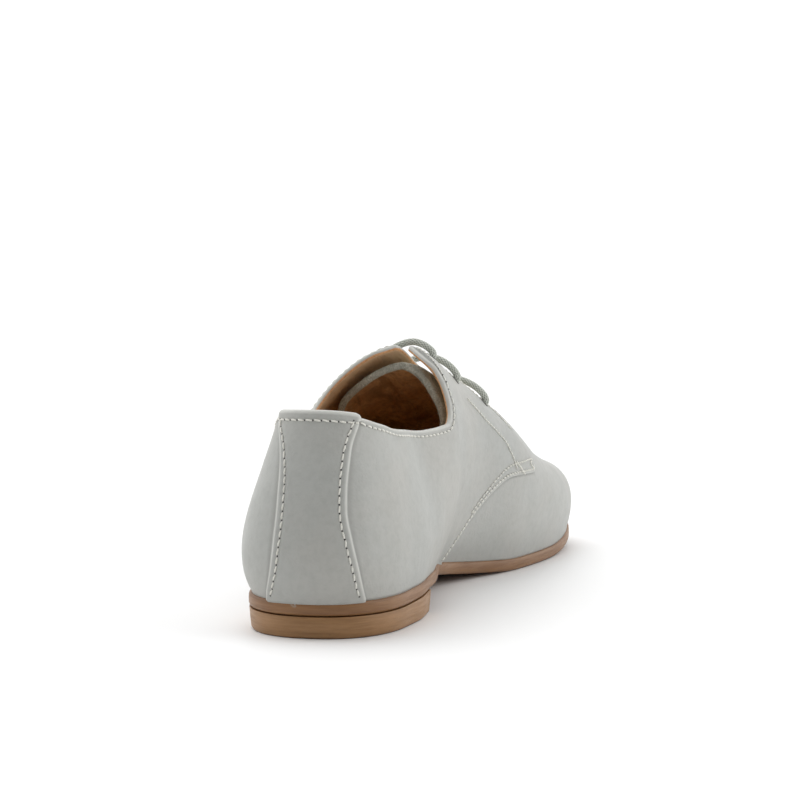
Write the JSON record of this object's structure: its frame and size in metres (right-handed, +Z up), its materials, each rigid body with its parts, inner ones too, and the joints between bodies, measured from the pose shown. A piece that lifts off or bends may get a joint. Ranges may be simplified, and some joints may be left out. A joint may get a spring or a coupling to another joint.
{
  "type": "derby shoe",
  "caption": "Pale grey leather derby for a left foot, with a low stacked heel, a tan sole, an open throat laced over a suede tongue, and a stitched back strip.",
  "frame": {"origin": "on the floor under the heel, at the middle of its flat underside", "axes": "+Z up, +Y to the toe, +X to the medial side"},
  "size_m": [0.0804, 0.2705, 0.0895],
  "materials": {
    "upper": "smooth pale grey leather, satin",
    "tongue": "grey suede",
    "insole": "brown lining leather",
    "sole": "tan leather sole, satin edge",
    "heel": "tan stacked leather, satin edge",
    "lace": "woven grey round lace"
  },
  "bodies": {
    "root": {"upper": "upper", "tongue": "tongue", "insole": "insole", "outsole": "sole", "heel": "heel", "lace_bar_1": "lace", "lace_bar_2": "lace", "lace_bar_3": "lace"}
  },
  "joints": []
}
